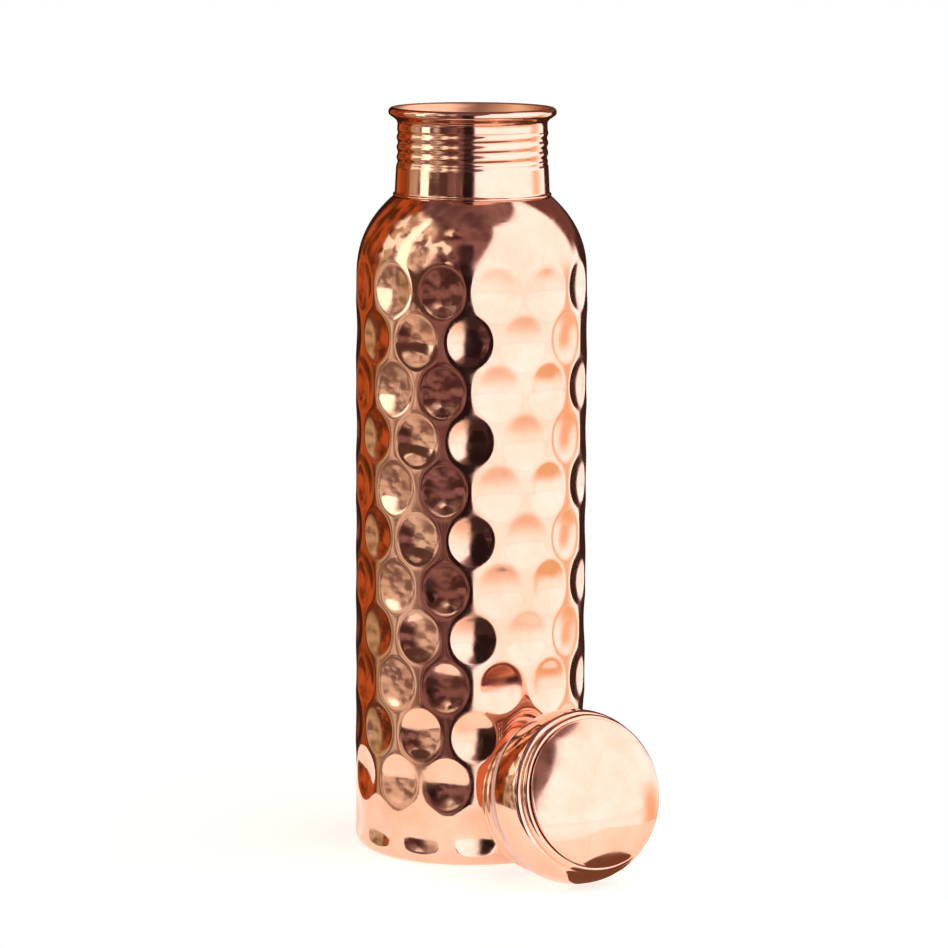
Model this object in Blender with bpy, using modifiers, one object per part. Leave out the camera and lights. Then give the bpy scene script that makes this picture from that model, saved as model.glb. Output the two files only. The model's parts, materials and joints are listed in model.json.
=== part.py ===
"""Copper water bottle with a dimpled body and a threaded neck, and its screw cap lying beside it.

Metres, +Z up. The origin is the centre of the foot, on the surface that the bottle stands on, and
-Y is the front. Each sheet-metal piece keeps its sheet thickness, and neighbours keep a small gap.
"""

import math

import bpy
from mathutils import Matrix, Vector

MM = 0.001
GAP = 0.3 * MM
SHEET = 0.9 * MM
TURN = 2.0 * math.pi

# Body: a drawn shell with straight sides, a rounded shoulder and a small corner at the foot.
BODY_RADIUS = 38.0 * MM
SHOULDER_START = 186.0 * MM
SHOULDER_TOP = 216.0 * MM
SHOULDER_DROP = 11.9 * MM
SHOULDER_POWER = 2.8
FOOT_CORNER = 4.5 * MM
FOOT_HEM = 0.5 * MM

# Dimples: staggered rows of oval hollows that nearly touch. Each row sits a little round from the last.
DIMPLE_ROWS = 12
DIMPLES_AROUND = 13
DIMPLE_HALF_WIDTH = 8.0 * MM
DIMPLE_HALF_HEIGHT = 9.0 * MM
DIMPLE_DEPTH = 1.65 * MM
DIMPLE_TOP_ROW = 188.0 * MM
DIMPLE_ROW_PITCH = 16.1 * MM
DIMPLE_PHASE = math.radians(5.6)
DIMPLE_TWIST = math.radians(0.38)
BODY_SEGMENTS = 4 * DIMPLES_AROUND

# Neck: a collar seated in the shoulder, with a rolled thread and a flared, rolled lip.
NECK_FOOT_RADIUS = 26.0 * MM
NECK_FILLET = 1.5 * MM
NECK_LOW_RADIUS = 25.35 * MM
NECK_TOP_RADIUS = 24.95 * MM
THROAT_RADIUS = 24.6 * MM
NECK_SHEET = 0.8 * MM
NECK_TAIL = 4.5 * MM
NECK_SEGMENTS = 32
LIP_TOP = 245.1 * MM
LIP_RADIUS = 27.5 * MM
LIP_ROLL = 1.5 * MM

# Thread: one start, right-handed, the same pitch in the neck and on the cap.
THREAD_PITCH = 3.2 * MM
THREAD_WAVE = 0.2 * MM
NECK_THREAD_BOTTOM = 226.8 * MM
NECK_THREAD_TOP = 238.0 * MM
THREAD_STEPS = 4

# Cap, along its own axis: 0 is its widest ring, and + is towards the top of its dome.
CAP_RADIUS = 28.05 * MM
CAP_TOP = 21.0 * MM
CAP_ROUNDNESS = 2.6
CAP_SEGMENTS = 32
DOME_SEAT = 13.9 * MM
BAND_TOP = 13.1 * MM
BAND_FOOT = -2.4 * MM
BAND_LAND = 9.9 * MM
SPIGOT_RADIUS = 22.9 * MM
SPIGOT_DEPTH = 3.0 * MM
SLEEVE_RADIUS = 23.2 * MM
SLEEVE_CREST = 23.6 * MM
SLEEVE_END = -18.5 * MM
SLEEVE_FLANGE_RADIUS = 26.2 * MM
SLEEVE_THREAD_TOP = -8.0 * MM
SLEEVE_SEGMENTS = 30
GASKET_RADIUS = 27.2 * MM
GASKET_FOOT = -6.4 * MM
GASKET_SEGMENTS = 28

# The cap lies beside the bottle, resting on its gasket and on the end of its thread.
CAP_X = 32.9 * MM
CAP_Y = -54.5 * MM
CAP_AZIMUTH = math.radians(31.5)
CAP_TILT = math.radians(15.3)

MERGE = 0.00001


def clear_scene():
    for obj in list(bpy.data.objects):
        bpy.data.objects.remove(obj, do_unlink=True)


def new_collection(name):
    collection = bpy.data.collections.new(name)
    bpy.context.scene.collection.children.link(collection)
    return collection


def new_material(name, colour, metallic, roughness):
    material = bpy.data.materials.new(name)
    material.use_nodes = True
    shader = material.node_tree.nodes["Principled BSDF"]
    shader.inputs["Base Color"].default_value = (*colour, 1.0)
    shader.inputs["Metallic"].default_value = metallic
    shader.inputs["Roughness"].default_value = roughness
    return material


def turned(name, outline, segments, material, ring=True):
    """A body turned about Z from (radius, height) points: a closed ring, or an outline from axis to axis."""
    mesh = bpy.data.meshes.new(name)
    count = len(outline)
    edges = [(i, i + 1) for i in range(count - 1)]
    if ring:
        edges.append((count - 1, 0))
    mesh.from_pydata([(radius, 0.0, height) for radius, height in outline], edges, [])
    obj = bpy.data.objects.new(name, mesh)
    bottle.objects.link(obj)
    screw = obj.modifiers.new("Turn", "SCREW")
    screw.axis = "Z"
    screw.steps = segments
    screw.render_steps = segments
    screw.use_merge_vertices = True
    screw.merge_threshold = MERGE
    mesh.materials.append(material)
    return obj


def made_mesh(obj):
    """Replaces the object's mesh by its turned one, so that its points can be moved."""
    graph = bpy.context.evaluated_depsgraph_get()
    mesh = bpy.data.meshes.new_from_object(obj.evaluated_get(graph))
    obj.modifiers.clear()
    obj.data = mesh
    mesh.name = obj.name
    return mesh


def move_radially(mesh, offset):
    """Moves each point away from Z by offset(angle, radius, height)."""
    for vertex in mesh.vertices:
        x, y, height = vertex.co
        radius = math.hypot(x, y)
        angle = math.atan2(y, x)
        scale = (radius + offset(angle, radius, height)) / radius
        vertex.co = (x * scale, y * scale, height)
    mesh.update()


def shade(obj):
    obj.data.shade_smooth()
    obj.data.set_sharp_from_angle(angle=math.radians(40.0))


def arc(centre, radius, start, end, steps):
    """Points of an arc in the (radius, height) plane, with its angles in degrees."""
    angles = [math.radians(start + (end - start) * i / steps) for i in range(steps + 1)]
    return [(centre[0] + radius * math.cos(a), centre[1] + radius * math.sin(a)) for a in angles]


def wall_point(height, inset):
    """The body wall's (radius, height) at this height, moved in by inset along its normal."""
    rise = max(height - SHOULDER_START, 0.0) / (SHOULDER_TOP - SHOULDER_START)
    radius = BODY_RADIUS - SHOULDER_DROP * rise**SHOULDER_POWER
    lean = SHOULDER_DROP * SHOULDER_POWER * rise ** (SHOULDER_POWER - 1.0)
    normal = Vector((1.0, lean / (SHOULDER_TOP - SHOULDER_START))).normalized()
    return radius - inset * normal.x, height - inset * normal.y


def row_height(row):
    return DIMPLE_TOP_ROW - row * DIMPLE_ROW_PITCH


def dimple_depth(angle, radius, height):
    """How far the wall is pressed in here: a bowl in each dimple, and nothing on the ridges."""
    depth = 0.0
    for row in range(DIMPLE_ROWS):
        rise = height - row_height(row)
        place = angle / TURN * DIMPLES_AROUND - 0.5 * (row % 2)
        across = (place - round(place)) * TURN / DIMPLES_AROUND * BODY_RADIUS
        reach = math.hypot(across / DIMPLE_HALF_WIDTH, rise / DIMPLE_HALF_HEIGHT)
        if reach < 1.0:
            depth = max(depth, DIMPLE_DEPTH * (1.0 - reach**2))
    fade = min(1.0, max(0.0, height / FOOT_CORNER))
    return -depth * fade


def twist_rows(mesh):
    """Turns each height round Z by its share of the twist, so that the dimples climb at a slant."""
    for vertex in mesh.vertices:
        turn = DIMPLE_PHASE + DIMPLE_TWIST * (DIMPLE_TOP_ROW - vertex.co.z) / DIMPLE_ROW_PITCH
        vertex.co.rotate(Matrix.Rotation(turn, 3, "Z"))
    mesh.update()


def thread_wave(bottom, top):
    """The offset of a rolled thread between two heights, fading out at both ends."""

    def offset(angle, radius, height):
        inside = min(height - bottom, top - height)
        if inside <= -MERGE:
            return 0.0
        fade = min(1.0, max(inside, 0.0) / (THREAD_PITCH / THREAD_STEPS))
        return THREAD_WAVE * fade * math.cos(TURN * height / THREAD_PITCH - angle)

    return offset


def thread_heights(bottom, top):
    """Heights from top to bottom, THREAD_STEPS to a pitch."""
    count = round((top - bottom) / THREAD_PITCH * THREAD_STEPS)
    return [top - (top - bottom) * i / count for i in range(count + 1)]


def make_body_shell(material):
    outer_shoulder = [216.0, 214.6, 212.6, 210.0, 207.0, 203.4, 199.4]
    inner_shoulder = [203.4, 210.0, 213.6, 216.0]
    outline = [wall_point(height * MM, 0.0) for height in outer_shoulder]
    for row in range(DIMPLE_ROWS):
        third = DIMPLE_ROW_PITCH / 3.0
        outline += [wall_point(row_height(row) + step * third, 0.0) for step in (1, 0, -1)]
    foot = (BODY_RADIUS - FOOT_CORNER, FOOT_CORNER)
    outline += arc(foot, FOOT_CORNER, 0.0, -90.0, 4)
    outline += [(foot[0] - FOOT_HEM, 0.0), (foot[0] - FOOT_HEM, SHEET)]
    outline += arc(foot, FOOT_CORNER - SHEET, -90.0, 0.0, 3)
    for row in reversed(range(DIMPLE_ROWS)):
        outline += [wall_point(row_height(row) + step * DIMPLE_ROW_PITCH, SHEET) for step in (0, 0.5)]
    outline += [wall_point(height * MM, SHEET) for height in inner_shoulder]
    shell = turned("body_shell", outline, BODY_SEGMENTS, material)
    mesh = made_mesh(shell)
    move_radially(mesh, dimple_depth)
    twist_rows(mesh)
    shade(shell)
    return shell


def make_base_plate(material):
    radius = BODY_RADIUS - FOOT_CORNER - FOOT_HEM - GAP
    corner = 0.2 * MM
    outline = [(0.0, SHEET), (radius - corner, SHEET), (radius, SHEET - corner)]
    outline += [(radius, corner), (radius - corner, 0.0), (0.0, 0.0)]
    plate = turned("base_plate", outline, BODY_SEGMENTS, material, ring=False)
    shade(plate)
    return plate


def make_neck_collar(material):
    """Outside: lip, throat, thread, slightly conical neck, fillet and tail. Inside: the same, a sheet in."""
    seat = SHOULDER_TOP + GAP
    roll = (LIP_RADIUS - LIP_ROLL, LIP_TOP - LIP_ROLL)
    tail_radius = NECK_LOW_RADIUS - 0.3 * MM
    inner = THROAT_RADIUS - NECK_SHEET
    outline = arc(roll, LIP_ROLL, 90.0, -60.0, 5)
    outline += [(25.4 * MM, 241.4 * MM), (THROAT_RADIUS - 0.2 * MM, 240.4 * MM)]
    heights = thread_heights(NECK_THREAD_BOTTOM, NECK_THREAD_TOP)
    outline += [(THROAT_RADIUS, height) for height in heights]
    outline += [(NECK_TOP_RADIUS, 225.8 * MM), (NECK_LOW_RADIUS, seat + NECK_FILLET)]
    outline += [(NECK_LOW_RADIUS + 0.15 * MM, seat + 0.4 * NECK_FILLET), (NECK_FOOT_RADIUS, seat)]
    outline += [(tail_radius, seat), (tail_radius, SHOULDER_TOP - NECK_TAIL)]
    outline += [(tail_radius - NECK_SHEET, SHOULDER_TOP - NECK_TAIL)]
    outline += [(tail_radius - NECK_SHEET, seat), (NECK_TOP_RADIUS - NECK_SHEET, 225.8 * MM)]
    outline += [(inner, height) for height in reversed(heights)]
    outline += [(inner, 240.2 * MM), (24.3 * MM, 241.8 * MM), (25.0 * MM, 243.4 * MM)]
    outline += [(25.3 * MM, LIP_TOP - 0.5 * MM)]
    collar = turned("neck_collar", outline, NECK_SEGMENTS, material)
    wave = thread_wave(NECK_THREAD_BOTTOM, NECK_THREAD_TOP)
    move_radially(made_mesh(collar), wave)
    shade(collar)
    return collar


def cap_envelope(station):
    """The cap's outer radius above its widest ring, as a rounded dome over the whole cap."""
    share = 1.0 - (station / CAP_TOP) ** CAP_ROUNDNESS
    return CAP_RADIUS * max(share, 0.0) ** (1.0 / CAP_ROUNDNESS)


def dome_arc(radius, height, steps):
    """Points of a shallow dome of this radius and height, from its middle to just before its edge."""
    ball = (radius**2 + height**2) / (2.0 * height)
    spread = math.degrees(math.asin(radius / ball))
    return arc((0.0, CAP_TOP - ball), ball, 90.0, 90.0 - spread, steps)


def make_cap_dome(material):
    """A shallow dome with a spigot that sits in the band."""
    rim = cap_envelope(DOME_SEAT)
    outline = dome_arc(rim - 0.2 * MM, CAP_TOP - DOME_SEAT - 0.7 * MM, 9)
    outline += [(rim, DOME_SEAT + 0.3 * MM), (rim - 0.3 * MM, DOME_SEAT), (SPIGOT_RADIUS, DOME_SEAT)]
    outline += [(SPIGOT_RADIUS, BAND_TOP - SPIGOT_DEPTH), (SPIGOT_RADIUS - SHEET, BAND_TOP - SPIGOT_DEPTH)]
    inside = dome_arc(rim - 0.2 * MM, CAP_TOP - DOME_SEAT - 0.7 * MM, 6)[:-1]
    outline += [(SPIGOT_RADIUS - SHEET, DOME_SEAT)]
    outline += [(radius, height - SHEET) for radius, height in reversed(inside)]
    dome = turned("cap_dome", outline, CAP_SEGMENTS, material, ring=False)
    shade(dome)
    return dome


def make_cap_band(material):
    """A hollow ring: a bead under the dome, a rounded band, and a floor turned in over the sleeve."""
    bore = SPIGOT_RADIUS + GAP
    bead = ((BAND_LAND + BAND_TOP) / 2.0, (BAND_TOP - BAND_LAND) / 2.0)
    bead_radius = cap_envelope(bead[0]) - 0.1 * MM
    outline = [(bore, BAND_TOP)]
    outline += arc((bead_radius - bead[1], bead[0]), bead[1], 90.0, -70.0, 4)
    outline += [(cap_envelope(BAND_LAND) - 0.2 * MM, BAND_LAND - 0.4 * MM)]
    outline += [(cap_envelope(station * MM), station * MM) for station in (7.6, 5.0, 2.4)]
    outline += [(CAP_RADIUS, 0.0), (CAP_RADIUS - 0.35 * MM, -1.2 * MM), (CAP_RADIUS - 0.7 * MM, BAND_FOOT)]
    hole = SLEEVE_CREST + 0.15 * MM
    outline += [(hole, BAND_FOOT), (hole, BAND_FOOT + SHEET)]
    outline += [(CAP_RADIUS - 1.2 * MM, BAND_FOOT + SHEET), (CAP_RADIUS - SHEET, 0.0)]
    outline += [(cap_envelope(station * MM) - SHEET, station * MM) for station in (5.0, 8.2)]
    outline += [(bore, BAND_LAND + 0.2 * MM)]
    band = turned("cap_band", outline, CAP_SEGMENTS, material)
    shade(band)
    return band


def make_cap_thread_sleeve(material):
    """A threaded tube that hangs through the band's floor from a flange."""
    floor = BAND_FOOT + SHEET + GAP
    inner = SLEEVE_RADIUS - NECK_SHEET
    end_radius = SLEEVE_RADIUS - 0.2 * MM
    outline = [(SLEEVE_FLANGE_RADIUS, floor + NECK_SHEET), (SLEEVE_FLANGE_RADIUS, floor)]
    outline += [(SLEEVE_RADIUS, floor), (SLEEVE_RADIUS, BAND_FOOT - GAP)]
    bottom = SLEEVE_END + 1.0 * MM
    heights = thread_heights(bottom, SLEEVE_THREAD_TOP)
    outline += [(SLEEVE_CREST - THREAD_WAVE, height) for height in heights]
    outline += [(end_radius, SLEEVE_END), (inner, SLEEVE_END), (inner, floor + NECK_SHEET)]
    sleeve = turned("cap_thread_sleeve", outline, SLEEVE_SEGMENTS, material)
    wave = thread_wave(bottom, SLEEVE_THREAD_TOP)
    outside = SLEEVE_RADIUS - 0.5 * NECK_SHEET
    move_radially(made_mesh(sleeve), lambda a, r, h: wave(a, r, h) if r > outside else 0.0)
    shade(sleeve)
    return sleeve


def make_cap_end_disc(material):
    """A dished disc that closes the end of the sleeve."""
    radius = SLEEVE_RADIUS - NECK_SHEET - GAP
    dish = 1.2 * MM
    flat = radius - 4.0 * MM
    low = SLEEVE_END + 0.2 * MM
    top = low + dish + NECK_SHEET
    outline = [(0.0, top), (flat, top), (radius, low + NECK_SHEET)]
    outline += [(radius, low), (flat, low + dish), (0.0, low + dish)]
    disc = turned("cap_end_disc", outline, SLEEVE_SEGMENTS, material, ring=False)
    shade(disc)
    return disc


def make_cap_gasket(material):
    """A soft ring with a rounded outer edge, loose on the sleeve under the band's floor."""
    top = BAND_FOOT - GAP
    inner = SLEEVE_CREST + 0.1 * MM
    half = (top - GASKET_FOOT) / 2.0
    outline = [(inner, top), *arc((GASKET_RADIUS - half, top - half), half, 80.0, -80.0, 5)]
    outline += [(inner, GASKET_FOOT)]
    gasket = turned("cap_gasket", outline, GASKET_SEGMENTS, material)
    shade(gasket)
    return gasket


def cap_frame():
    """The cap's place: its axis points to the front and right, tilted up, and it touches the floor."""
    level = math.cos(CAP_TILT)
    axis = Vector((math.sin(CAP_AZIMUTH) * level, -math.cos(CAP_AZIMUTH) * level, math.sin(CAP_TILT)))
    across = Vector((math.cos(CAP_AZIMUTH), math.sin(CAP_AZIMUTH), 0.0))
    edge = (BAND_FOOT - GAP - GASKET_FOOT) / 2.0
    resting = [(CAP_RADIUS, 0.0, 0.0), (GASKET_RADIUS - edge, GASKET_FOOT + edge, edge)]
    resting += [(SLEEVE_RADIUS, SLEEVE_END, 0.0)]
    height = max(radius * level - station * math.sin(CAP_TILT) + rim for radius, station, rim in resting)
    turn = Matrix((across, axis.cross(across), axis)).transposed()
    return Matrix.Translation((CAP_X, CAP_Y, height)) @ turn.to_4x4()


clear_scene()
bottle = new_collection("copper_water_bottle")
polished = new_material("polished_copper", (0.93, 0.52, 0.36), 1.0, 0.12)
drawn = new_material("drawn_copper", (0.90, 0.48, 0.32), 1.0, 0.2)
silicone = new_material("pale_silicone", (0.86, 0.72, 0.67), 0.0, 0.45)

make_body_shell(polished)
make_base_plate(drawn)
make_neck_collar(polished)

cap_axis = bpy.data.objects.new("cap_axis", None)
bottle.objects.link(cap_axis)
cap_axis.matrix_world = cap_frame()
cap_pieces = [make_cap_dome(polished), make_cap_band(polished), make_cap_thread_sleeve(polished)]
cap_pieces += [make_cap_end_disc(drawn), make_cap_gasket(silicone)]
for piece in cap_pieces:
    piece.parent = cap_axis
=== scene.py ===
"""The looks of a copper water bottle with its screw cap beside it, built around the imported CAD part.

Every CAD solid is replaced by a fine turned mesh of the same size: the pressed body, the threaded
neck, the base plate, and the cap's dome, band, sleeve, end disc and gasket. Metres, +Z up.
"""

import json
import math

import bpy
import numpy as np
from mathutils import Matrix, Vector


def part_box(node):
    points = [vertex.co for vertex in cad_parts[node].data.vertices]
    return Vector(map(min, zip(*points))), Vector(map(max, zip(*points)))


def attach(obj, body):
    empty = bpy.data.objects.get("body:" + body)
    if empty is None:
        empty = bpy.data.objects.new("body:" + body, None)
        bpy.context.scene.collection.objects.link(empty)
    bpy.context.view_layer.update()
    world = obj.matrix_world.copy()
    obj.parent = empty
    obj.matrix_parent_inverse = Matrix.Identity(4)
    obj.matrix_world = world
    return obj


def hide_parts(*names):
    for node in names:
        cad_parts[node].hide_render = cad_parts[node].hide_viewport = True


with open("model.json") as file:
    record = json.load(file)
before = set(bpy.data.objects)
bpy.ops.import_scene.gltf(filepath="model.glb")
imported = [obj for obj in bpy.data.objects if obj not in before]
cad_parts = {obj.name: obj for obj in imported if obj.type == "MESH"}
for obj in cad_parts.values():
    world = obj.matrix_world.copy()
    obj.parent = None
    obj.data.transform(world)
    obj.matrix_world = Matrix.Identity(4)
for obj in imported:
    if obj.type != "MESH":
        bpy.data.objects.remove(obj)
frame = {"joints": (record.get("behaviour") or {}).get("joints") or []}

MM = 0.001
TURN = 2.0 * math.pi

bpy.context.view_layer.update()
BODY_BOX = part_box("body_shell")
NECK_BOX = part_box("neck_collar")

# Body: the same wall as the CAD shell, with its rows of pressed dimples.
SHEET = 0.9 * MM
BODY_RADIUS = 38.0 * MM
SHOULDER_START = 186.0 * MM
SHOULDER_TOP = BODY_BOX[1].z
SHOULDER_DROP = 11.9 * MM
SHOULDER_POWER = 2.8
FOOT_CORNER = 4.5 * MM
FOOT_HEM = 0.5 * MM
DIMPLE_ROWS = 12
DIMPLES_AROUND = 13
DIMPLE_HALF_WIDTH = 7.7 * MM
DIMPLE_HALF_HEIGHT = 8.4 * MM
DIMPLE_DEPTH = 1.5 * MM
DIMPLE_TOP_ROW = 188.0 * MM
DIMPLE_ROW_PITCH = 16.1 * MM
DIMPLE_PHASE = math.radians(5.6)
DIMPLE_TWIST = math.radians(0.38)
RIM_SOFTNESS = 0.16 * MM
FOOT_ARC_STEPS = 12
TOP_STEP, WALL_STEP, INNER_WALL_STEP = 0.5 * MM, 1.0 * MM, 3 * MM
BODY_COLUMNS = 312

# A dimple reaches this many half heights up and down, beyond which its soft rim has died out.
DIMPLE_REACH = 1.5

# How much each dimple differs from the next: place round the body, height and share of its depth.
DIMPLE_SLIP = 0.22 * MM
DIMPLE_LIFT = 0.2 * MM
DIMPLE_UNEVENNESS = 0.06
DIMPLE_SEED = 12

# The waviness of the sheet, which dies out at the shoulder's top.
WAVE_COUNT = 9
WAVE_FEWEST, WAVE_MOST = 2, 11
WAVE_LENGTHS = (22.0 * MM, 60.0 * MM)
WAVE_HEIGHT = 0.012 * MM
WAVE_SEED = 5
CALM_TOP = 6.0 * MM

# Neck and thread. The flare and the mouth are (radius, height) points.
NECK_FOOT_RADIUS = 26.0 * MM
NECK_FILLET = 1.5 * MM
NECK_LOW_RADIUS = 25.35 * MM
NECK_TOP_RADIUS = 24.95 * MM
THROAT_RADIUS = 24.6 * MM
NECK_SHEET = 0.8 * MM
NECK_TAIL = 4.5 * MM
LIP_TOP = NECK_BOX[1].z
LIP_RADIUS = 27.5 * MM
LIP_ROLL = 1.5 * MM
THREAD_PITCH = 3.2 * MM
THREAD_WAVE = 0.2 * MM
NECK_THREAD_BOTTOM = 226.8 * MM
NECK_THREAD_TOP = 238.0 * MM
NECK_PLAIN_TOP = 225.8 * MM
NECK_BEAD = 0.45 * MM
NECK_BEAD_TOP = 1.1 * MM
NECK_TAIL_INSET = 0.3 * MM
FLARE = [(26.0 * MM, 241.8 * MM), (25.3 * MM, 241.3 * MM), (24.7 * MM, 240.6 * MM)]
FLARE_FOOT = (THROAT_RADIUS - 0.1 * MM, 239.8 * MM)
MOUTH = [(24.3 * MM, 241.8 * MM), (25.0 * MM, 243.4 * MM), (25.3 * MM, LIP_TOP - 0.5 * MM)]
MOUTH_FOOT = 240.2 * MM
THREAD_STEP = 0.16 * MM
FLARE_STEP, PLAIN_STEP, MOUTH_STEP = 0.3 * MM, 0.6 * MM, 0.4 * MM
NECK_COLUMNS = 256

# Cap, along its own axis.
CAP_RADIUS = 28.05 * MM
CAP_TOP = 21.0 * MM
CAP_ROUNDNESS = 2.6
DOME_SEAT = 13.9 * MM
BAND_TOP = 13.1 * MM
BAND_FOOT = -2.4 * MM
BAND_LAND = 9.9 * MM
SPIGOT_RADIUS = 22.9 * MM
SPIGOT_DEPTH = 3.0 * MM
SLEEVE_RADIUS = 23.2 * MM
SLEEVE_CREST = 23.6 * MM
SLEEVE_END = -18.5 * MM
SLEEVE_FLANGE_RADIUS = 26.2 * MM
SLEEVE_THREAD_TOP = -8.0 * MM
GASKET_RADIUS = 27.2 * MM
GASKET_FOOT = -6.4 * MM
GAP = 0.3 * MM
DOME_RIM_HEIGHT = 0.7 * MM
DOME_EDGE_INSET = 0.2 * MM
DOME_EDGE = 0.4 * MM
DOME_EDGE_DROP = 0.3 * MM
BEAD_INSET = 0.1 * MM
BEAD_GROOVE = 0.35 * MM
BAND_EDGE = 1.2 * MM
BAND_LAND_STEP = 0.2 * MM
BAND_STATIONS = np.arange(9.0, -0.1, -0.4) * MM
BAND_INNER_STATIONS = (2.0 * MM, 5.0 * MM, 8.2 * MM)
BAND_HOLE_ROOM = 0.15 * MM
GASKET_ROOM = 0.1 * MM
SLEEVE_EDGE = 0.4 * MM
SLEEVE_END_INSET = 0.2 * MM
SLEEVE_PLAIN_END = 1.0 * MM
DISC_INSET = 0.2 * MM
DISC_DISH = 1.2 * MM
DISC_RIM = 4.0 * MM
CAP_COLUMNS = 256
SLEEVE_COLUMNS = 240
GASKET_COLUMNS = 200
DISC_COLUMNS = 180

# Edges sharper than this are drawn as edges, and the rest are shaded smooth.
SHARP_EDGE = math.radians(50.0)


# ---------------------------------------------------------------- meshes

def turned(name, outline, columns, offset=None, ring=True):
    """A closed body turned about Z from (radius, height) points, with points moved out by offset."""
    radii = np.array([point[0] for point in outline])
    heights = np.array([point[1] for point in outline])
    angles = np.arange(columns) * TURN / columns
    start, stop = (0, len(outline)) if ring else (1, len(outline) - 1)
    radius, angle = np.meshgrid(radii[start:stop], angles, indexing="ij")
    height = np.repeat(heights[start:stop, None], columns, axis=1)
    if offset is not None:
        radius = radius + offset(angle, radius, height)
    points = np.stack([radius * np.cos(angle), radius * np.sin(angle), height], axis=2).reshape(-1, 3)
    rows = stop - start
    index = np.arange(rows * columns).reshape(rows, columns)
    after = np.roll(index, -1, axis=1)
    upper, lower = (index, np.roll(index, -1, axis=0)) if ring else (index[:-1], index[1:])
    upper_after, lower_after = (after, np.roll(after, -1, axis=0)) if ring else (after[:-1], after[1:])
    quads = np.stack([upper, lower, lower_after, upper_after], axis=2).reshape(-1, 4)
    faces = quads.tolist()
    if not ring:
        first, last = len(points), len(points) + 1
        poles = [(0.0, 0.0, heights[0]), (0.0, 0.0, heights[-1])]
        points = np.vstack([points, poles])
        faces += [(first, a, b) for a, b in zip(index[0].tolist(), after[0].tolist())]
        faces += [(last, b, a) for a, b in zip(index[-1].tolist(), after[-1].tolist())]
    mesh = bpy.data.meshes.new(name)
    mesh.from_pydata(points.tolist(), [], faces)
    mesh.update()
    mesh.shade_smooth()
    mesh.set_sharp_from_angle(angle=SHARP_EDGE)
    obj = bpy.data.objects.new(name, mesh)
    bpy.context.scene.collection.objects.link(obj)
    return obj


def arc(centre, radius, start, end, steps):
    """Points of an arc in the (radius, height) plane, with its angles in degrees."""
    angles = np.radians(np.linspace(start, end, steps + 1))
    return [(centre[0] + radius * math.cos(a), centre[1] + radius * math.sin(a)) for a in angles]


def straight(start, end, step):
    """Points from start to end, both included, no further apart than step."""
    count = max(1, math.ceil(math.dist(start, end) / step))
    first, whole = np.array(start), np.array(end) - np.array(start)
    return [tuple(first + whole * i / count) for i in range(count + 1)]


def joined(points, step):
    """The straight lines between these points one after another, without the first point."""
    return [point for start, end in zip(points, points[1:]) for point in straight(start, end, step)[1:]]


def down(top, bottom, step):
    """Heights from top down to just above bottom."""
    return np.arange(top, bottom, -step)


def smooth_step(value):
    """0 below 0, 1 above 1, and an even curve between them."""
    value = np.clip(value, 0.0, 1.0)
    return value * value * (3.0 - 2.0 * value)


# ---------------------------------------------------------------- bottle

def wall_point(height, inset):
    """The body wall's (radius, height) at this height, moved in by inset along its normal."""
    rise = max(height - SHOULDER_START, 0.0) / (SHOULDER_TOP - SHOULDER_START)
    radius = BODY_RADIUS - SHOULDER_DROP * rise**SHOULDER_POWER
    lean = SHOULDER_DROP * SHOULDER_POWER * rise ** (SHOULDER_POWER - 1.0)
    normal = Vector((1.0, lean / (SHOULDER_TOP - SHOULDER_START))).normalized()
    return radius - inset * normal.x, height - inset * normal.y


def dimple_press(angle, radius, height):
    """How far the wall is pressed in: a soft-rimmed bowl in each dimple, each a little its own."""
    draw = np.random.default_rng(DIMPLE_SEED)
    pressed = np.zeros_like(radius)
    pitch_angle = TURN / DIMPLES_AROUND
    for row in range(DIMPLE_ROWS):
        row_height = DIMPLE_TOP_ROW - row * DIMPLE_ROW_PITCH
        rows_near = np.abs(height[:, 0] - row_height) < DIMPLE_REACH * DIMPLE_HALF_HEIGHT
        for place in range(DIMPLES_AROUND):
            centre_angle = DIMPLE_PHASE + row * DIMPLE_TWIST + (place + 0.5 * (row % 2)) * pitch_angle
            slip, lift, strength = draw.uniform(-1.0, 1.0, 3)
            turn = (angle[rows_near] - centre_angle + math.pi) % TURN - math.pi
            across = turn * BODY_RADIUS - slip * DIMPLE_SLIP
            rise = height[rows_near] - row_height - lift * DIMPLE_LIFT
            reach = np.hypot(across / DIMPLE_HALF_WIDTH, rise / DIMPLE_HALF_HEIGHT)
            bowl = DIMPLE_DEPTH * (1.0 + DIMPLE_UNEVENNESS * strength) * (1.0 - reach**2)
            pressed[rows_near] += RIM_SOFTNESS * np.logaddexp(0.0, bowl / RIM_SOFTNESS)
    return -pressed * smooth_step(height / FOOT_CORNER)


def hand_wave(angle, height):
    """The slight unevenness of hand-worked sheet, in metres."""
    draw = np.random.default_rng(WAVE_SEED)
    wave = np.zeros_like(angle)
    for _ in range(WAVE_COUNT):
        around, phase = draw.integers(WAVE_FEWEST, WAVE_MOST), draw.uniform(0.0, TURN, 2)
        length = draw.uniform(*WAVE_LENGTHS)
        wave += np.sin(around * angle + phase[0]) * np.sin(TURN * height / length + phase[1])
    return wave * WAVE_HEIGHT


def body_offset(angle, radius, height):
    """How far the wall moves out: its dimples and its waviness, both calm at the foot."""
    calm = smooth_step((SHOULDER_TOP - height) / CALM_TOP) * smooth_step(height / FOOT_CORNER)
    return dimple_press(angle, radius, height) + hand_wave(angle, height) * calm


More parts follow.
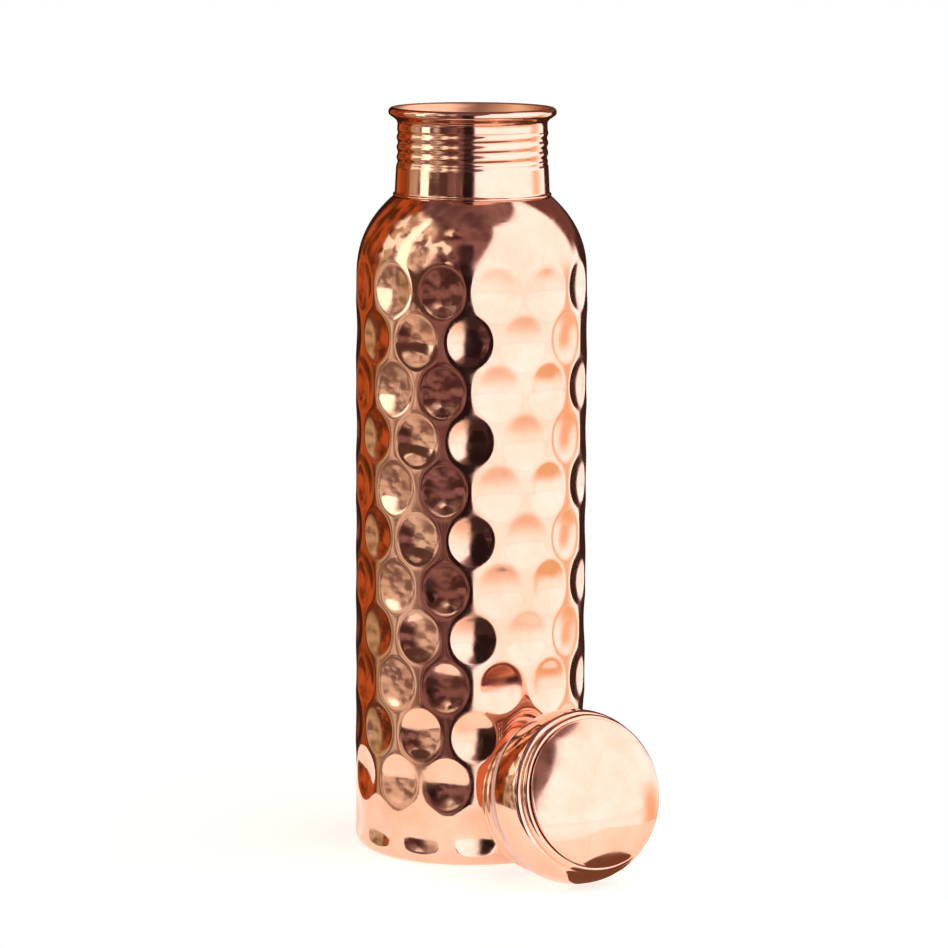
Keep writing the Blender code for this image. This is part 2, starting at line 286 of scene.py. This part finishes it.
def make_body():
    fine_end = SHOULDER_TOP - CALM_TOP
    outline = [wall_point(height, 0.0) for height in down(SHOULDER_TOP, fine_end, TOP_STEP)]
    outline += [wall_point(height, 0.0) for height in down(fine_end, FOOT_CORNER, WALL_STEP)]
    foot = (BODY_RADIUS - FOOT_CORNER, FOOT_CORNER)
    outline += arc(foot, FOOT_CORNER, 0.0, -90.0, FOOT_ARC_STEPS)
    outline += [(foot[0] - FOOT_HEM, 0.0), (foot[0] - FOOT_HEM, SHEET)]
    outline += arc(foot, FOOT_CORNER - SHEET, -90.0, 0.0, FOOT_ARC_STEPS // 2)
    inner_heights = np.arange(FOOT_CORNER + INNER_WALL_STEP, SHOULDER_TOP, INNER_WALL_STEP)
    outline += [wall_point(height, SHEET) for height in inner_heights]
    outline += [wall_point(SHOULDER_TOP, SHEET)]
    return turned("hammered_body", outline, BODY_COLUMNS, body_offset)


def thread_offset(bottom, top, outside_of):
    """A rolled thread between two heights: rounded crests, fading in and out over a quarter turn."""

    def offset(angle, radius, height):
        inside = np.minimum(height - bottom, top - height)
        fade = smooth_step(inside / (0.25 * THREAD_PITCH))
        wave = np.cos(TURN * height / THREAD_PITCH - angle)
        return np.where(radius > outside_of, THREAD_WAVE * fade * wave, 0.0)

    return offset


def make_neck():
    seat = SHOULDER_TOP + GAP
    roll = (LIP_RADIUS - LIP_ROLL, LIP_TOP - LIP_ROLL)
    tail_radius = NECK_LOW_RADIUS - NECK_TAIL_INSET
    tail_inner = tail_radius - NECK_SHEET
    inner = THROAT_RADIUS - NECK_SHEET
    thread_top, thread_foot = (THROAT_RADIUS, NECK_THREAD_TOP), (THROAT_RADIUS, NECK_THREAD_BOTTOM)
    plain_top = (NECK_TOP_RADIUS, NECK_PLAIN_TOP)
    outline = arc(roll, LIP_ROLL, 90.0, -60.0, steps=18)
    outline += joined([outline[-1], *FLARE, FLARE_FOOT, thread_top], FLARE_STEP)
    outline += joined([thread_top, thread_foot], THREAD_STEP)
    outline += joined([thread_foot, plain_top], FLARE_STEP)
    outline += joined([plain_top, (NECK_LOW_RADIUS, seat + NECK_FILLET)], PLAIN_STEP)
    bead = (NECK_FOOT_RADIUS - NECK_BEAD, seat + NECK_BEAD)
    outline += [(NECK_LOW_RADIUS + 0.05 * MM, seat + NECK_BEAD_TOP)]
    outline += arc(bead, NECK_BEAD, 80.0, -90.0, steps=8)
    outline += [(tail_radius, seat), (tail_radius, SHOULDER_TOP - NECK_TAIL)]
    outline += [(tail_inner, SHOULDER_TOP - NECK_TAIL), (tail_inner, seat)]
    outline += joined([(tail_inner, seat), (NECK_TOP_RADIUS - NECK_SHEET, NECK_PLAIN_TOP)], WALL_STEP)
    outline += straight((inner, NECK_THREAD_BOTTOM), (inner, MOUTH_FOOT), FLARE_STEP)
    outline += joined([(inner, MOUTH_FOOT), *MOUTH, outline[0]], MOUTH_STEP)
    outline.pop()
    thread = thread_offset(NECK_THREAD_BOTTOM, NECK_THREAD_TOP, 0.0)
    return turned("threaded_neck", outline, NECK_COLUMNS, thread)


def make_base():
    radius = BODY_RADIUS - FOOT_CORNER - FOOT_HEM - GAP
    corner = 0.2 * MM
    outline = straight((0.0, SHEET), (radius - corner, SHEET), step=2 * MM)
    outline += [(radius, SHEET - corner), (radius, corner)]
    outline += straight((radius - corner, 0.0), (0.0, 0.0), step=2 * MM)
    return turned("foot_plate", outline, DISC_COLUMNS, ring=False)


# ---------------------------------------------------------------- cap

def cap_envelope(station):
    """The cap's outer radius above its widest ring, as a rounded dome over the whole cap."""
    share = 1.0 - (max(station, 0.0) / CAP_TOP) ** CAP_ROUNDNESS
    return CAP_RADIUS * max(share, 0.0) ** (1.0 / CAP_ROUNDNESS)


def dome_arc(radius, height, steps):
    """Points of a shallow dome of this radius and height, from its middle to its edge."""
    ball = (radius**2 + height**2) / (2.0 * height)
    spread = math.degrees(math.asin(radius / ball))
    return arc((0.0, CAP_TOP - ball), ball, 90.0, 90.0 - spread, steps)


def make_dome():
    rim = cap_envelope(DOME_SEAT)
    low, rise = DOME_SEAT + DOME_RIM_HEIGHT, CAP_TOP - DOME_SEAT - DOME_RIM_HEIGHT
    outline = dome_arc(rim - DOME_EDGE_INSET, rise, steps=60)
    outline += arc((rim - DOME_EDGE, low - DOME_EDGE_DROP), DOME_EDGE, 40.0, -90.0, steps=8)
    outline += [(SPIGOT_RADIUS, DOME_SEAT), (SPIGOT_RADIUS, BAND_TOP - SPIGOT_DEPTH)]
    outline += [(SPIGOT_RADIUS - SHEET, BAND_TOP - SPIGOT_DEPTH), (SPIGOT_RADIUS - SHEET, DOME_SEAT)]
    inside = dome_arc(rim - DOME_EDGE_INSET, rise, steps=24)[:-3]
    outline += [(radius, height - SHEET) for radius, height in reversed(inside)]
    return turned("polished_dome", outline, CAP_COLUMNS, ring=False)


def make_band():
    bore = SPIGOT_RADIUS + GAP
    bead = ((BAND_LAND + BAND_TOP) / 2.0, (BAND_TOP - BAND_LAND) / 2.0)
    bead_radius = cap_envelope(bead[0]) - BEAD_INSET
    outline = [(bore, BAND_TOP)]
    outline += arc((bead_radius - bead[1], bead[0]), bead[1], 90.0, -70.0, steps=20)
    outline += [(cap_envelope(BAND_LAND) - BEAD_GROOVE, BAND_LAND - BAND_LAND_STEP)]
    outline += [(cap_envelope(station), station) for station in BAND_STATIONS]
    outline += arc((CAP_RADIUS - BAND_EDGE, -BAND_EDGE), BAND_EDGE, 0.0, -90.0, steps=8)
    hole = SLEEVE_CREST + BAND_HOLE_ROOM
    outline += [(hole, BAND_FOOT), (hole, BAND_FOOT + SHEET)]
    outline += [(CAP_RADIUS - BAND_EDGE, BAND_FOOT + SHEET), (CAP_RADIUS - SHEET, 0.0)]
    outline += [(cap_envelope(station) - SHEET, station) for station in BAND_INNER_STATIONS]
    outline += [(bore, BAND_LAND + BAND_LAND_STEP)]
    return turned("grip_band", outline, CAP_COLUMNS)


def make_sleeve():
    floor = BAND_FOOT + SHEET + GAP
    inner = SLEEVE_RADIUS - NECK_SHEET
    end_radius = SLEEVE_RADIUS - SLEEVE_END_INSET
    outline = [(SLEEVE_FLANGE_RADIUS, floor + NECK_SHEET), (SLEEVE_FLANGE_RADIUS, floor)]
    outline += [(SLEEVE_RADIUS, floor), (SLEEVE_RADIUS, BAND_FOOT - GAP)]
    bottom = SLEEVE_END + SLEEVE_PLAIN_END
    crest = SLEEVE_CREST - THREAD_WAVE
    outline += straight((crest, SLEEVE_THREAD_TOP), (crest, bottom), THREAD_STEP)
    outline += arc((end_radius - SLEEVE_EDGE, SLEEVE_END + SLEEVE_EDGE), SLEEVE_EDGE, 0.0, -90.0, steps=5)
    outline += [(inner, SLEEVE_END), (inner, floor + NECK_SHEET)]
    outside = SLEEVE_RADIUS - 0.5 * NECK_SHEET
    thread = thread_offset(bottom, SLEEVE_THREAD_TOP, outside)
    return turned("thread_sleeve", outline, SLEEVE_COLUMNS, thread)


def make_end_disc():
    radius = SLEEVE_RADIUS - NECK_SHEET - GAP
    flat = radius - DISC_RIM
    low = SLEEVE_END + DISC_INSET
    top = low + DISC_DISH + NECK_SHEET
    outline = straight((0.0, top), (flat, top), step=1.5 * MM)
    outline += straight((flat, top), (radius, low + NECK_SHEET), step=0.5 * MM)[1:]
    outline += straight((radius, low), (flat, low + DISC_DISH), step=0.5 * MM)
    outline += straight((flat, low + DISC_DISH), (0.0, low + DISC_DISH), step=1.5 * MM)[1:]
    return turned("sleeve_end_disc", outline, DISC_COLUMNS, ring=False)


def make_gasket():
    top = BAND_FOOT - GAP
    inner = SLEEVE_CREST + GASKET_ROOM
    half = (top - GASKET_FOOT) / 2.0
    outline = [(inner, top), *arc((GASKET_RADIUS - half, top - half), half, 80.0, -80.0, steps=24)]
    outline += [(inner, GASKET_FOOT)]
    return turned("sealing_ring", outline, GASKET_COLUMNS)


def cap_matrix():
    """The cap's frame, from its joint: the axis runs through the dome, and X is level."""
    joint = next(j for j in frame["joints"] if j["name"] == "cap_turn")
    axis = Vector(joint["axis"]).normalized()
    across = Vector((-axis.y, axis.x, 0.0)).normalized()
    turn = Matrix((across, axis.cross(across), axis)).transposed()
    return Matrix.Translation(Vector(joint["pos_m"])) @ turn.to_4x4()


# ---------------------------------------------------------------- materials

INSIDE_COPPER = (0.84, 0.42, 0.24)
INSIDE_ROUGHNESS = 0.3
SMUDGE_ROUGHNESS = 0.10
MARK_ROUGHNESS = 0.06
LATHE_STRETCH = (60.0, 60.0, 1600.0)
DRAWN_STRETCH = (900.0, 900.0, 120.0)
SILICONE_PALE, SILICONE_DEEP = (0.92, 0.67, 0.60), (0.84, 0.58, 0.51)


class Nodes:
    """Short calls for building a node tree."""

    def __init__(self, tree):
        self.tree = tree

    def add(self, kind, **values):
        node = self.tree.nodes.new(kind)
        for name, value in values.items():
            setattr(node, name, value)
        return node

    def link(self, out, into):
        self.tree.links.new(out, into)

    def math(self, operation, a, b=0.0):
        """The result of this operation on one or two numbers or sockets."""
        node = self.add("ShaderNodeMath", operation=operation)
        for socket, value in zip(node.inputs, (a, b)):
            if isinstance(value, (int, float)):
                socket.default_value = value
            else:
                self.link(value, socket)
        return node.outputs[0]

    def noise(self, vector, scale, detail=3.0, roughness=0.5):
        """Cloudy values from about 0.25 to 0.75 at this place or direction."""
        node = self.add("ShaderNodeTexNoise")
        node.inputs["Scale"].default_value = scale
        node.inputs["Detail"].default_value = detail
        node.inputs["Roughness"].default_value = roughness
        self.link(vector, node.inputs["Vector"])
        return node.outputs["Fac"]

    def bump(self, height, strength, distance):
        """The node that bends a surface's normals by this height."""
        node = self.add("ShaderNodeBump")
        node.inputs["Strength"].default_value = strength
        node.inputs["Distance"].default_value = distance
        self.link(height, node.inputs["Height"])
        return node

    def ramp(self, value, low, high, to_low=0.0, to_high=1.0):
        """value from low..high to to_low..to_high, smoothly and clamped."""
        node = self.add("ShaderNodeMapRange", interpolation_type="SMOOTHSTEP")
        ends = {"From Min": low, "From Max": high, "To Min": to_low, "To Max": to_high}
        for name, number in ends.items():
            node.inputs[name].default_value = number
        self.link(value, node.inputs["Value"])
        return node.outputs["Result"]

    def inward_facing(self, place):
        """1 where a turned piece's surface faces its own axis, as inside a neck or a shell."""
        spread = self.add("ShaderNodeVectorMath", operation="MULTIPLY")
        spread.inputs[1].default_value = (1.0, 1.0, 0.0)
        self.link(place, spread.inputs[0])
        radial = self.add("ShaderNodeVectorMath", operation="NORMALIZE")
        self.link(spread.outputs[0], radial.inputs[0])
        facing = self.add("ShaderNodeVectorMath", operation="DOT_PRODUCT")
        self.link(radial.outputs[0], facing.inputs[0])
        self.link(self.add("ShaderNodeTexCoord").outputs["Normal"], facing.inputs[1])
        return self.ramp(facing.outputs["Value"], -0.5, -0.2, 1.0, 0.0)

    def mix(self, factor, a, b):
        """A colour mix; a and b are colours or sockets."""
        node = self.add("ShaderNodeMix", data_type="RGBA")
        self.link(factor, node.inputs["Factor"])
        for socket, value in ((node.inputs["A"], a), (node.inputs["B"], b)):
            if isinstance(value, tuple):
                socket.default_value = (*value, 1.0)
            else:
                self.link(value, socket)
        return node.outputs["Result"]


def new_material(name, frame_matrix=None):
    """A material and its texture place: the object's own frame, or the given one within it."""
    material = bpy.data.materials.new(name)
    material.use_nodes = True
    nodes = Nodes(material.node_tree)
    shader = material.node_tree.nodes["Principled BSDF"]
    place = nodes.add("ShaderNodeTexCoord").outputs["Object"]
    if frame_matrix is not None:
        turned_place = nodes.add("ShaderNodeMapping", vector_type="TEXTURE")
        turned_place.inputs["Location"].default_value = frame_matrix.to_translation()
        turned_place.inputs["Rotation"].default_value = frame_matrix.to_euler()
        nodes.link(place, turned_place.inputs["Vector"])
        place = turned_place.outputs["Vector"]
    return material, nodes, shader, place


def make_copper(name, bright, deep, polish, wave, lathe_marks, frame_matrix=None):
    """Polished copper: patches of colour, smudges, fine scratches and a trace of unevenness.

    A bottle piece is redder and duller inside, where it faces the bottle's axis. A cap piece has
    frame_matrix instead, so that its marks run round the cap's own axis.
    """
    material, nodes, shader, place = new_material(name, frame_matrix)
    patches = nodes.noise(place, scale=38.0, detail=4.0, roughness=0.55)
    smudge = nodes.noise(place, scale=160.0, detail=5.0, roughness=0.6)
    tone = nodes.math("ADD", nodes.math("MULTIPLY", patches, 0.7), nodes.math("MULTIPLY", smudge, 0.3))
    skin = nodes.mix(nodes.ramp(tone, 0.34, 0.66), bright, deep)
    stretch = nodes.add("ShaderNodeMapping")
    stretch.inputs["Scale"].default_value = LATHE_STRETCH if lathe_marks else DRAWN_STRETCH
    nodes.link(place, stretch.inputs["Vector"])
    marks = nodes.noise(stretch.outputs["Vector"], scale=1.0, detail=2.0, roughness=0.6)
    dulled = nodes.ramp(smudge, 0.35, 0.75, polish, polish + SMUDGE_ROUGHNESS)
    roughness = nodes.math("ADD", dulled, nodes.ramp(marks, 0.55, 0.8, 0.0, MARK_ROUGHNESS))
    if frame_matrix is None:
        inward = nodes.inward_facing(place)
        skin = nodes.mix(inward, skin, INSIDE_COPPER)
        roughness = nodes.math("ADD", roughness, nodes.math("MULTIPLY", inward, INSIDE_ROUGHNESS))
    nodes.link(skin, shader.inputs["Base Color"])
    nodes.link(roughness, shader.inputs["Roughness"])
    shader.inputs["Metallic"].default_value = 1.0
    uneven = nodes.bump(nodes.noise(place, scale=120.0), strength=wave, distance=0.4 * MM)
    scratch = nodes.bump(marks, strength=0.05, distance=0.02 * MM)
    nodes.link(uneven.outputs["Normal"], scratch.inputs["Normal"])
    nodes.link(scratch.outputs["Normal"], shader.inputs["Normal"])
    return material


def make_silicone(name):
    """Pale silicone with a slight cloudiness and a fine grain."""
    material, nodes, shader, place = new_material(name)
    cloud = nodes.ramp(nodes.noise(place, scale=90.0), 0.35, 0.65)
    nodes.link(nodes.mix(cloud, SILICONE_PALE, SILICONE_DEEP), shader.inputs["Base Color"])
    dust = nodes.ramp(nodes.noise(place, scale=400.0, detail=4.0), 0.3, 0.7, to_low=0.35, to_high=0.5)
    nodes.link(dust, shader.inputs["Roughness"])
    grain = nodes.bump(nodes.noise(place, scale=2500.0, detail=2.0), strength=0.2, distance=0.03 * MM)
    nodes.link(grain.outputs["Normal"], shader.inputs["Normal"])
    shader.inputs["Subsurface Weight"].default_value = 0.15
    shader.inputs["Subsurface Radius"].default_value = (0.002, 0.001, 0.0008)
    return material


# ---------------------------------------------------------------- studio

TABLE_LEFT, TABLE_RIGHT, TABLE_FRONT, TABLE_BACK = -0.12, 0.15, -0.13, 0.12
TABLE_THICKNESS = 0.003
TABLE_GLOW = 0.82

# The cards' corners: the stand's are (x, z) at one y, the strip's (y, z) at one x, and the screen's
# (x, y, z). The cap's painted shadow is a dark oval just above the table, seen only in the copper,
# with its centre and half sizes in x and y.
STAND_Y = -0.62
STAND = [(-0.10, -0.12), (-0.01, -0.12), (0.036, 0.14), (-0.01, 0.34), (-0.12, 0.37), (-0.17, 0.14)]
STRIP_X = -0.55
STRIP = [(-0.235, 0.15), (-0.08, 0.15), (-0.08, 1.1), (-0.19, 1.1)]
SCREEN = [(-0.50, -0.225, 0.145), (-0.44, -0.323, 0.12), (-0.35, -0.47, 0.16),
          (-0.35, -0.47, 0.29), (-0.42, -0.356, 0.23), (-0.50, -0.225, 0.26)]
CAP_SHADOW_CENTRE, CAP_SHADOW_HALF_SIZES = (0.052, -0.070), (0.021, 0.016)
CAP_SHADOW_HEIGHT = 0.3 * MM
CAP_SHADOW_SIDES = 24

# The colours of the room and its walls, each pair mixed by noise, and of the light panel by height.
ROOM_DARK, ROOM_LIGHT = (0.12, 0.06, 0.065), (0.32, 0.19, 0.19)
WARM_LIGHT, WARM_DARK = (0.52, 0.12, 0.03), (0.10, 0.03, 0.012)
OLIVE_DARK, OLIVE_LIGHT = (0.24, 0.18, 0.07), (0.62, 0.50, 0.30)
BEIGE_DARK, BEIGE_LIGHT = (0.22, 0.14, 0.12), (0.85, 0.72, 0.60)
BROWN_DARK, BROWN_LIGHT = (0.07, 0.03, 0.03), (0.30, 0.17, 0.17)
PANEL_FOOT, PANEL_LOW = (1.05, 0.86, 0.72), (1.5, 1.5, 1.62)
SHARD_SCALE, SHARD_BEND = 6.5, 0.2

# The elevation, in degrees, from which the light panel's left side leans.
LEAN_FROM = 13.0

SUN_PLACE = Vector((0.2, -0.3, 1.0))
SUN_ENERGY = 1.2
SUN_SOFTNESS = math.radians(60.0)

CAMERA_TARGET = Vector((0.0, 0.0, 0.122))
CAMERA_DISTANCE = 1.5
CAMERA_PITCH = math.radians(8.3)
CAMERA_ROLL = math.radians(0.24)
CAMERA_LENS = 172.6
CAMERA_SHIFT = (0.0031646, 0.0068565)


def make_floor():
    """A small pale table top, lit from inside, with its edges just around the bottle and the cap."""
    mesh = bpy.data.meshes.new("table_top")
    corners = [(TABLE_LEFT, TABLE_FRONT), (TABLE_RIGHT, TABLE_FRONT)]
    corners += [(TABLE_RIGHT, TABLE_BACK), (TABLE_LEFT, TABLE_BACK)]
    points = [(x, y, 0.0) for x, y in corners] + [(x, y, -TABLE_THICKNESS) for x, y in corners]
    faces = [(0, 1, 2, 3), (7, 6, 5, 4), (0, 4, 5, 1), (1, 5, 6, 2), (2, 6, 7, 3), (3, 7, 4, 0)]
    mesh.from_pydata(points, [], faces)
    floor = bpy.data.objects.new("table_top", mesh)
    bpy.context.scene.collection.objects.link(floor)
    material, nodes, shader, place = new_material("pale_table")
    shade = nodes.ramp(nodes.noise(place, scale=3.0, detail=2.0), 0.3, 0.7)
    nodes.link(nodes.mix(shade, (0.42, 0.40, 0.38), (0.46, 0.44, 0.42)), shader.inputs["Base Color"])
    shader.inputs["Roughness"].default_value = 0.7
    shader.inputs["Emission Color"].default_value = (1.0, 0.93, 0.87, 1.0)
    shader.inputs["Emission Strength"].default_value = TABLE_GLOW
    mesh.materials.append(material)


def make_card(name, corners, colour):
    """A flat card or light panel that only polished metal shows, given by its corners."""
    mesh = bpy.data.meshes.new(name)
    mesh.from_pydata(corners, [], [tuple(range(len(corners)))])
    card = bpy.data.objects.new(name, mesh)
    bpy.context.scene.collection.objects.link(card)
    material = bpy.data.materials.new(name)
    material.use_nodes = True
    shader = material.node_tree.nodes["Principled BSDF"]
    shader.inputs["Base Color"].default_value = (0.0, 0.0, 0.0, 1.0)
    shader.inputs["Specular IOR Level"].default_value = 0.0
    shader.inputs["Emission Color"].default_value = (*colour, 1.0)
    shader.inputs["Emission Strength"].default_value = 1.0
    mesh.materials.append(material)
    card.visible_camera = False
    card.visible_diffuse = False
    card.visible_shadow = False


def make_cards():
    """Round the bottle: the dark camera stand, a strip light and a brown screen on the left, and a
    painted shadow under the cap.
    """
    make_card("camera_stand", [(x, STAND_Y, z) for x, z in STAND], (0.02, 0.010, 0.011))
    make_card("strip_light", [(STRIP_X, y, z) for y, z in STRIP], (2.0, 1.95, 1.85))
    make_card("brown_screen", SCREEN, (0.10, 0.052, 0.042))
    # Painted shadow: a dark oval under the cap that only the copper shows, standing in for the cap's
    # shade on the table.
    cap_shadow_edge = [(CAP_SHADOW_CENTRE[0] + CAP_SHADOW_HALF_SIZES[0] * math.cos(angle),
                 CAP_SHADOW_CENTRE[1] + CAP_SHADOW_HALF_SIZES[1] * math.sin(angle), CAP_SHADOW_HEIGHT)
                for angle in np.linspace(0.0, TURN, CAP_SHADOW_SIDES, endpoint=False)]
    make_card("painted_cap_shadow", cap_shadow_edge, (0.20, 0.085, 0.05))


def make_world():
    """The studio as a polished thing sees it: azimuth 0 is the camera's side and 90 the right."""
    world = bpy.data.worlds.new("studio")
    bpy.context.scene.world = world
    world.use_nodes = True
    tree = world.node_tree
    nodes = Nodes(tree)
    direction = nodes.add("ShaderNodeTexCoord").outputs["Generated"]
    split = nodes.add("ShaderNodeSeparateXYZ")
    nodes.link(direction, split.inputs[0])
    x, y, z = split.outputs
    azimuth = nodes.math("DEGREES", nodes.math("ARCTAN2", x, nodes.math("MULTIPLY", y, -1.0)))
    elevation = nodes.math("DEGREES", nodes.math("ARCSINE", z))

    rise = nodes.math("MAXIMUM", nodes.math("SUBTRACT", elevation, LEAN_FROM), 0.0)

    def window(low, high, bottom, top, soft, lean=0.0):
        """1 inside these azimuths and elevations, 0 outside; its left side leans right as it rises."""
        leaning = nodes.math("SUBTRACT", azimuth, nodes.math("MULTIPLY", rise, lean))
        sides = nodes.math("MULTIPLY", nodes.ramp(leaning, low - soft, low + soft),
                           nodes.ramp(azimuth, high - soft, high + soft, 1.0, 0.0))
        ends = nodes.math("MULTIPLY", nodes.ramp(elevation, bottom - soft, bottom + soft),
                          nodes.ramp(elevation, top - soft, top + soft, 1.0, 0.0))
        return nodes.math("MULTIPLY", sides, ends)

    wobble = nodes.noise(direction, scale=2.6, roughness=0.55)
    streak = nodes.noise(direction, scale=5.0, detail=4.0, roughness=0.6)
    shards = nodes.add("ShaderNodeTexVoronoi")
    shards.inputs["Scale"].default_value = SHARD_SCALE
    bend = nodes.add("ShaderNodeVectorMath", operation="MULTIPLY_ADD")
    nodes.link(nodes.add("ShaderNodeTexNoise").outputs["Color"], bend.inputs[0])
    bend.inputs[1].default_value = (SHARD_BEND, SHARD_BEND, SHARD_BEND)
    nodes.link(direction, bend.inputs[2])
    nodes.link(bend.outputs[0], shards.inputs["Vector"])
    cell = nodes.add("ShaderNodeSeparateColor")
    nodes.link(shards.outputs["Color"], cell.inputs[0])
    bright_cells = nodes.ramp(cell.outputs[0], 0.58, 0.66)
    room = nodes.mix(nodes.ramp(wobble, 0.35, 0.7), ROOM_DARK, ROOM_LIGHT)
    warm = nodes.mix(nodes.ramp(streak, 0.40, 0.60), WARM_LIGHT, WARM_DARK)
    olive = nodes.mix(nodes.ramp(streak, 0.4, 0.6), OLIVE_DARK, OLIVE_LIGHT)
    beige = nodes.mix(nodes.ramp(streak, 0.42, 0.60), BEIGE_DARK, BEIGE_LIGHT)
    brown = nodes.mix(nodes.ramp(streak, 0.42, 0.60), BROWN_DARK, BROWN_LIGHT)
    falling = nodes.mix(nodes.ramp(elevation, -36.0, -8.0), PANEL_FOOT, PANEL_LOW)
    flare = nodes.math("MULTIPLY", bright_cells, window(-112.0, -24.0, 10.0, 56.0, 4.0))
    # Each later layer covers the earlier ones: walls on the left, bright shards above them, the dark
    # behind the camera, at the far right and at the back, then the light panel on the right with its
    # warmer low end and edge, and the dark below and above its far side. A window gives azimuths,
    # then elevations, then softness, all in degrees.
    layers = [
        (window(-168.0, -108.0, -50.0, 55.0, 5.0), warm),
        (window(-108.0, -97.0, -50.0, 55.0, 3.0), olive),
        (window(-97.0, -48.0, -45.0, 55.0, 3.0), beige),
        (window(-50.0, -10.0, -60.0, 60.0, 5.0), brown),
        (flare, (1.4, 1.35, 1.2)),
        (window(-14.0, 3.0, -60.0, 40.0, 2.5), (0.05, 0.028, 0.03)),
        (window(139.0, 181.0, -60.0, 60.0, 3.0), (0.05, 0.018, 0.012)),
        (window(-181.0, -154.0, -60.0, 60.0, 5.0), (0.04, 0.014, 0.010)),
        (window(3.0, 138.0, -38.0, -5.0, 2.5), falling),
        (window(4.0, 137.0, -6.0, 60.0, 2.5, 0.7), (1.6, 1.6, 1.8)),
        (window(76.0, 128.0, -36.0, -19.0, 5.0), (0.98, 0.66, 0.40)),
        (window(102.0, 120.0, -22.0, 3.0, 7.0), (1.10, 0.74, 0.50)),
        (window(104.0, 141.0, -75.0, -30.0, 4.0), (0.10, 0.035, 0.02)),
        (window(126.0, 181.0, 8.0, 64.0, 4.0), (0.17, 0.07, 0.06)),
    ]
    colour = room
    for factor, tint in layers:
        colour = nodes.mix(factor, colour, tint)
    seen = nodes.mix(nodes.add("ShaderNodeLightPath").outputs["Is Camera Ray"], colour, (1.0, 1.0, 1.0))
    background = tree.nodes["Background"]
    nodes.link(seen, background.inputs["Color"])


def make_sun():
    """A soft light from above that lights the table, and that polished metal does not show."""
    data = bpy.data.lights.new("top_fill", "SUN")
    data.energy = SUN_ENERGY
    data.angle = SUN_SOFTNESS
    data.color = (1.0, 0.98, 0.96)
    light = bpy.data.objects.new("top_fill", data)
    light.location = SUN_PLACE
    light.rotation_euler = (-SUN_PLACE).to_track_quat("-Z", "Y").to_euler()
    light.visible_camera = False
    light.visible_glossy = False
    bpy.context.scene.collection.objects.link(light)


def make_camera():
    """A long lens from a little above, with the bottle a hair off plumb."""
    data = bpy.data.cameras.new("camera")
    camera = bpy.data.objects.new("camera", data)
    bpy.context.scene.collection.objects.link(camera)
    back = Vector((0.0, -math.cos(CAMERA_PITCH), math.sin(CAMERA_PITCH)))
    camera.location = CAMERA_TARGET + back * CAMERA_DISTANCE
    look = (-back).to_track_quat("-Z", "Y").to_matrix().to_4x4()
    roll = Matrix.Rotation(CAMERA_ROLL, 4, "Z")
    camera.matrix_world = Matrix.Translation(camera.location) @ look @ roll
    data.sensor_width = 36.0
    data.lens = CAMERA_LENS
    data.shift_x, data.shift_y = CAMERA_SHIFT
    data.clip_start, data.clip_end = 0.05, 20.0
    bpy.context.scene.camera = camera


# ---------------------------------------------------------------- assembly

cap_place = cap_matrix()
polished = make_copper("polished_copper", (0.93, 0.57, 0.42), (0.88, 0.48, 0.32),
                       polish=0.06, wave=0.10, lathe_marks=False)
spun_looks = {"bright": (0.93, 0.56, 0.41), "deep": (0.88, 0.48, 0.32), "polish": 0.07, "wave": 0.05}
drawn_looks = {"bright": (0.90, 0.52, 0.37), "deep": (0.80, 0.42, 0.28), "polish": 0.18, "wave": 0.10}
spun = make_copper("spun_copper", **spun_looks, lathe_marks=True)
drawn = make_copper("drawn_copper", **drawn_looks, lathe_marks=True)
cap_spun = make_copper("cap_copper", **spun_looks, lathe_marks=True, frame_matrix=cap_place)
cap_drawn = make_copper("cap_end_copper", **drawn_looks, lathe_marks=True, frame_matrix=cap_place)
silicone = make_silicone("pale_silicone")

# Each piece's maker, material, body, CAD node and material slot.
parts = [
    (make_body, polished, "bottle", "body_shell", "polished_copper"),
    (make_neck, spun, "bottle", "neck_collar", "polished_copper"),
    (make_base, drawn, "bottle", "base_plate", "drawn_copper"),
    (make_dome, cap_spun, "cap", "cap_dome", "polished_copper"),
    (make_band, cap_spun, "cap", "cap_band", "polished_copper"),
    (make_sleeve, cap_spun, "cap", "cap_thread_sleeve", "polished_copper"),
    (make_end_disc, cap_drawn, "cap", "cap_end_disc", "drawn_copper"),
    (make_gasket, silicone, "gasket", "cap_gasket", "silicone"),
]
for make, material, body, node, slot in parts:
    piece = make()
    piece.data.materials.append(material)
    if body != "bottle":
        piece.data.transform(cap_place)
    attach(piece, body)
    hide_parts(node)

make_floor()
make_cards()
make_world()
make_sun()
make_camera()
bpy.context.scene.view_settings.view_transform = "Standard"
